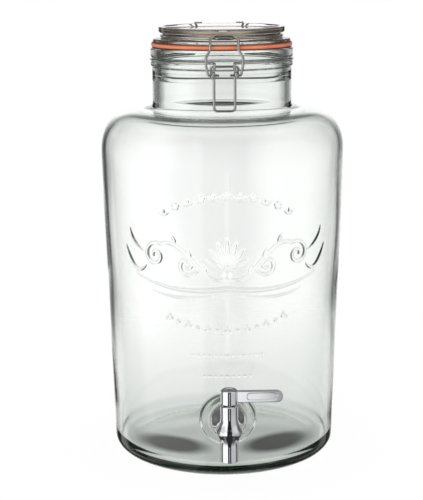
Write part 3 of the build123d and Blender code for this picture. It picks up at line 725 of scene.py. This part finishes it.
# ================================================================ build
JAR_GLASS = glass("jar_glass_green_cast", absorbed=(0.0, 0.18, 0.04), density=16.0, shade=(0.82, 0.85, 0.82))
LID_GLASS = glass("lid_glass_warm_cast", absorbed=(0.56, 0.47, 0.31), density=22.0, shade=(0.80, 0.78, 0.76))
WIRE = metal("steel_wire_drawn", (0.55, 0.55, 0.54), rough=(0.14, 0.26), grain=1500)
CHROME = metal("chrome_polished", (0.83, 0.84, 0.86), rough=(0.03, 0.09), grain=700, depth=0.000005)
SCREW = metal("screw_steel", (0.62, 0.63, 0.64), rough=(0.22, 0.34), grain=900)
SEAL = moulded(
    "seal_orange_rubber",
    dark=(0.72, 0.20, 0.10),
    light=(0.88, 0.30, 0.14),
    rough=(0.32, 0.46),
    soft=0.15,
    # painted shade on the seal's faces that turn up or down
    edge=(0.16, 0.02, 0.01),
)
O_RING = moulded("o_ring_black_rubber", (0.012, 0.012, 0.012), (0.03, 0.03, 0.03), rough=(0.4, 0.55))
WASHER = moulded("washer_clear_rubber", (0.60, 0.61, 0.58), (0.72, 0.73, 0.70), rough=(0.35, 0.5), soft=0.4)
PLASTIC = moulded("nut_white_plastic", (0.74, 0.74, 0.71), (0.82, 0.82, 0.79), rough=(0.3, 0.42), soft=0.2)

FINISHES = [
    (SEAL, ["lid_seal"]),
    (WIRE, ["lid_wire", "neck_wire", "latch_lever", "latch_loop"]),
    (CHROME, ["tap_body", "tap_lever", "tap_button"]),
    (SCREW, ["tap_screw"]),
    (O_RING, ["plug_o_rings"]),
    (WASHER, ["tap_outer_washer", "tap_inner_washer"]),
    (PLASTIC, ["tap_plug", "tap_slip_washer", "tap_nut"]),
]


def stand_in(piece, body, node_name, mat):
    """Puts a new glass piece in place of a CAD node."""
    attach(piece, body)
    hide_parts(node_name)
    paint(piece, mat)


stand_in(glass_jar(), "jar", "glass_jar", JAR_GLASS)
stand_in(glass_lid(), "lid", "glass_lid", LID_GLASS)
for finish, node_names in FINISHES:
    for node_name in node_names:
        paint(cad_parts[node_name], finish)

# ================================================================ studio
FLOOR_R, FLOOR_SOLID_R, FLOOR_SIDES = 0.62, 0.25, 96  # the floor fades out from its solid middle to its edge
FLOOR_DROP = 0.0002  # the floor lies this far under the jar
PAINTED_LIGHT_UNDER_JAR, ROUND_JAR = 0.95, 0.66  # greys of the floor; the lighter one, under the jar, is painted light
UNDER_JAR_R = (0.085, 0.11)  # the floor goes from one grey to the other between these radii
# painted light: the floor glows by this share of its grey, most under the jar
FLOOR_GLOW = 0.55
CAMERA_WHITE = 0.93  # how much of the floor is plain white where the camera sees it directly
PAINTED_LENS_SHADE = (0.010, 0.018, 0.012)  # painted shade: dark ovals on the floor under the glass, one each side of the tap
LENS_CENTRE = (0.046, -0.022, 0)  # of the one at +X
LENS_HALF = (0.040, 0.022, 1)  # half length and half width
LENS_TURN = 38.0  # degrees
LENS_FADE = (1.15, 0.55)  # an oval fades in between these shares of its half sizes

# Greys of the surround, as (direction, grey) stops. The direction's share to the camera's right, upwards or
# away from the camera goes from -1 to 1.
BACK_RIGHT = [  # the sweep behind the jar, seen through the glass
    (-1, 0.3), (-0.85, 0.12), (-0.42, 0.12), (-0.30, 0.7), (-0.20, 1.45), (-0.06, 1.4), (-0.03, 1.17),
    (0.03, 1.12), (0.06, 1.3), (0.22, 1.4), (0.35, 0.8), (0.50, 0.2), (0.85, 0.2), (1, 0.3),
]
BACK_UP = [(-0.15, 1.0), (-0.08, 0.88)]  # how much is left of it
FRONT_UP = [(-0.3, 0.10), (0.15, 0.10), (0.60, 0.35)]  # the dark studio in front, seen through the glass
MIRROR_RIGHT = [  # the sweep as metal mirrors it
    (-1, 0.25), (-0.80, 0.08), (-0.75, 0.75), (-0.62, 0.75), (-0.55, 0.04), (-0.40, 0.04), (-0.30, 0.6),
    (-0.20, 1.1), (0.20, 1.1), (0.33, 0.6), (0.43, 0.05), (0.58, 0.05), (0.64, 0.5), (0.76, 0.5),
    (0.82, 0.08), (1, 0.25),
]
ABOVE_GREY = 0.15  # above both sweeps
DIFFUSE_GREY = 0.7  # what lights matt surfaces
BOXES_RIGHT = [  # a bright soft box on the left and a dimmer one on the right
    (-1.0, 0.2), (-0.95, 1.3), (-0.36, 1.3), (-0.26, 0.02),
    (0.32, 0.02), (0.42, 0.6), (0.95, 0.6), (1.0, 0.5),
]
BOXES_UP = [(-0.80, 0.15), (-0.45, 1.0), (0.80, 1.0), (0.95, 0.5)]  # how much is left of them
PAST_BOXES_GREY = 0.03
CARD_RIGHT = [(0.022, 0.0), (0.032, 1.0), (0.095, 1.0), (0.105, 0.0)]  # small white card low in front
CARD_UP = [(-0.42, 0.0), (-0.40, 1.0), (-0.22, 1.0), (-0.20, 0.0)]
OVERHEAD_GREY = 0.8
# Shares of the regions, from 0 outside to 1 inside, in the same directions
BEHIND_AWAY = [(-0.10, 0.0), (0.10, 1.0)]
ABOVE_UP = [(0.20, 0.0), (0.32, 1.0)]
OVERHEAD_UP = [(0.20, 0.0), (0.40, 1.0)]
OVERHEAD_AWAY = [(-0.75, 0.0), (-0.45, 1.0)]


def floor_colour(tree):
    """Pale floor with painted light, brightest under the jar, and painted shade: a dark oval under the glass
    either side of the tap.
    """
    place = position(tree)
    # painted light: the floor is lighter under the jar than round it
    pale = mixed(tree, PAINTED_LIGHT_UNDER_JAR, ROUND_JAR, ease(tree, length(tree, place), *UNDER_JAR_R))
    x, y = split(tree, place)[:2]
    folded = node(tree, "ShaderNodeCombineXYZ", X=arithmetic(tree, "ABSOLUTE", x), Y=y)
    oval = node(tree, "ShaderNodeMapping", vector_type="TEXTURE", Vector=folded.outputs["Vector"])
    oval.inputs["Location"].default_value = LENS_CENTRE
    oval.inputs["Rotation"].default_value = (0, 0, math.radians(LENS_TURN))
    oval.inputs["Scale"].default_value = LENS_HALF
    # painted shade: a dark oval either side of the tap
    return mixed(tree, pale, PAINTED_LENS_SHADE, ease(tree, length(tree, oval.outputs["Vector"]), *LENS_FADE))


def floor_material():
    """Floor that fades into the white surround at its edge. Metal mirrors the surround instead of it."""
    mat, tree, shader = new_material("floor_pale")
    shader.inputs["Roughness"].default_value = 0.9
    shader.inputs["Specular IOR Level"].default_value = 0.0
    # painted light: the floor glows, following its painted greys
    shader.inputs["Emission Strength"].default_value = FLOOR_GLOW
    colour = floor_colour(tree)
    feed(tree, colour, shader.inputs["Base Color"])
    feed(tree, colour, shader.inputs["Emission Color"])
    white = node(tree, "ShaderNodeEmission", Color=rgba(1.0), Strength=1.0)
    whiteness = arithmetic(tree, "MULTIPLY", is_ray(tree, "Camera"), CAMERA_WHITE)
    seen = mixed_shader(tree, shader.outputs["BSDF"], white.outputs["Emission"], whiteness)
    fade = ease(tree, length(tree, position(tree)), FLOOR_SOLID_R, FLOOR_R)
    mirrored = arithmetic(tree, "SUBTRACT", is_ray(tree, "Glossy"), is_ray(tree, "Transmission"), clamp=True)
    clear = node(tree, "ShaderNodeBsdfTransparent").outputs["BSDF"]
    surface(tree, mixed_shader(tree, seen, clear, arithmetic(tree, "MAXIMUM", fade, mirrored)))
    return mat


def pale_floor():
    """Round floor just under the jar."""
    angles = np.linspace(0, 2 * math.pi, FLOOR_SIDES + 1)[:-1]
    ring = [(FLOOR_R * math.cos(a), FLOOR_R * math.sin(a), -FLOOR_DROP) for a in angles]
    mesh = bpy.data.meshes.new("floor")
    mesh.from_pydata(ring, [], [tuple(range(FLOOR_SIDES))])
    floor = bpy.data.objects.new("floor", mesh)
    bpy.context.scene.collection.objects.link(floor)
    paint(floor, floor_material())


def to_right(tree, x, y, z):
    """How far a world direction points to the camera's right."""
    joined = node(tree, "ShaderNodeCombineXYZ", X=x, Y=y, Z=z)
    turned = node(tree, "ShaderNodeVectorTransform", Vector=joined.outputs["Vector"])
    turned.vector_type = "VECTOR"
    turned.convert_from = "WORLD"
    turned.convert_to = "CAMERA"
    return split(tree, turned.outputs["Vector"])[X]


def seen_through_glass(tree, right, up, behind, above):
    """White sweep behind the jar and a dark studio in front of it."""
    sweep = mixed(tree, 0.0, greys(tree, right, BACK_RIGHT), greys(tree, up, BACK_UP))
    sweep = mixed(tree, sweep, ABOVE_GREY, above)
    return mixed(tree, greys(tree, up, FRONT_UP), sweep, behind)


def mirrored_by_metal(tree, right, up, away, behind, above):
    """Soft boxes, a card and a light ceiling in front of the jar, and the sweep behind it."""
    boxes = mixed(tree, PAST_BOXES_GREY, greys(tree, right, BOXES_RIGHT), greys(tree, up, BOXES_UP))
    card = mixed(tree, 0.0, greys(tree, right, CARD_RIGHT), greys(tree, up, CARD_UP))
    overhead = mixed(tree, 0.0, greys(tree, up, OVERHEAD_UP), greys(tree, away, OVERHEAD_AWAY))
    front = mixed(tree, mixed(tree, boxes, 1.0, card), OVERHEAD_GREY, overhead)
    sweep = mixed(tree, greys(tree, right, MIRROR_RIGHT), ABOVE_GREY, above)
    return mixed(tree, front, sweep, behind)


def studio_world():
    """Surround that each kind of ray sees differently: white to the camera, and a studio to glass and metal.

    The studio turns with the camera, so the jar is lit alike from every side.
    """
    world = bpy.data.worlds.new("studio")
    bpy.context.scene.world = world
    world.use_nodes = True
    tree = world.node_tree
    east, north, up = split(tree, node(tree, "ShaderNodeTexCoord").outputs["Generated"])
    right = to_right(tree, east, north, up)
    # a quarter turn about the vertical brings what is away from the camera to its right
    away = to_right(tree, north, arithmetic(tree, "MULTIPLY", east, -1.0), 0.0)
    behind = greys(tree, away, BEHIND_AWAY)
    above = greys(tree, up, ABOVE_UP)
    through = seen_through_glass(tree, right, up, behind, above)
    mirrored = mirrored_by_metal(tree, right, up, away, behind, above)
    seen = mixed(tree, mirrored, through, is_ray(tree, "Transmission"))
    seen = mixed(tree, seen, DIFFUSE_GREY, is_ray(tree, "Diffuse"))
    seen = mixed(tree, seen, 1.0, is_ray(tree, "Camera"))
    feed(tree, seen, tree.nodes["Background"].inputs["Color"])


def area_light(name, place, aim, size, power):
    """Soft lamp that only matt surfaces show: glass and metal see the studio instead. Power in watts."""
    data = bpy.data.lights.new(name, "AREA")
    data.shape = "RECTANGLE"
    data.size, data.size_y = size
    data.energy = power
    lamp = bpy.data.objects.new(name, data)
    lamp.location = place
    lamp.rotation_euler = (Vector(aim) - Vector(place)).to_track_quat("-Z", "Y").to_euler()
    lamp.visible_glossy = False
    lamp.visible_transmission = False
    bpy.context.scene.collection.objects.link(lamp)


pale_floor()
studio_world()
area_light("top_soft", place=(0, 0.1, 2.0), aim=(0, 0, 0.1), size=(1.6, 2.0), power=15)
area_light("front_fill", place=(-0.5, -1.6, 0.9), aim=(0, 0, 0.3), size=(0.8, 0.8), power=9)

# ================================================================ camera
DISTANCE, HEIGHT = 1.228, 0.440  # from the jar's axis and from the table, in metres
AZIMUTH = 2.0  # degrees to the left of straight in front
PITCH, YAW, ROLL = 12.0, 0.47, 0.4  # degrees: down, left of the jar's axis, and clockwise
LENS, SENSOR = 67.2, 24.0  # focal length and the picture's height, in mm


def add_camera():
    """Camera in front of the jar, looking down at it."""
    data = bpy.data.cameras.new("camera")
    data.sensor_fit = "VERTICAL"
    data.sensor_height = SENSOR
    data.lens = LENS
    camera = bpy.data.objects.new("camera", data)
    around = math.radians(AZIMUTH)
    place = Vector((-DISTANCE * math.sin(around), -DISTANCE * math.cos(around), HEIGHT))
    turn = Matrix.Rotation(math.radians(YAW - AZIMUTH), 4, "Z")
    tilt = Matrix.Rotation(math.radians(90 - PITCH), 4, "X")
    roll = Matrix.Rotation(math.radians(-ROLL), 4, "Z")
    camera.matrix_world = Matrix.Translation(place) @ turn @ tilt @ roll
    bpy.context.scene.collection.objects.link(camera)
    bpy.context.scene.camera = camera


def clear_glass_settings(cycles):
    """Enough bounces for light to cross both walls of the jar and the lid."""
    cycles.use_denoising = True
    cycles.max_bounces = 32
    cycles.transmission_bounces = 32
    cycles.transparent_max_bounces = 32
    cycles.glossy_bounces = 12
    cycles.caustics_reflective = False
    cycles.caustics_refractive = False


add_camera()
clear_glass_settings(bpy.context.scene.cycles)
bpy.context.scene.view_settings.view_transform = "Standard"
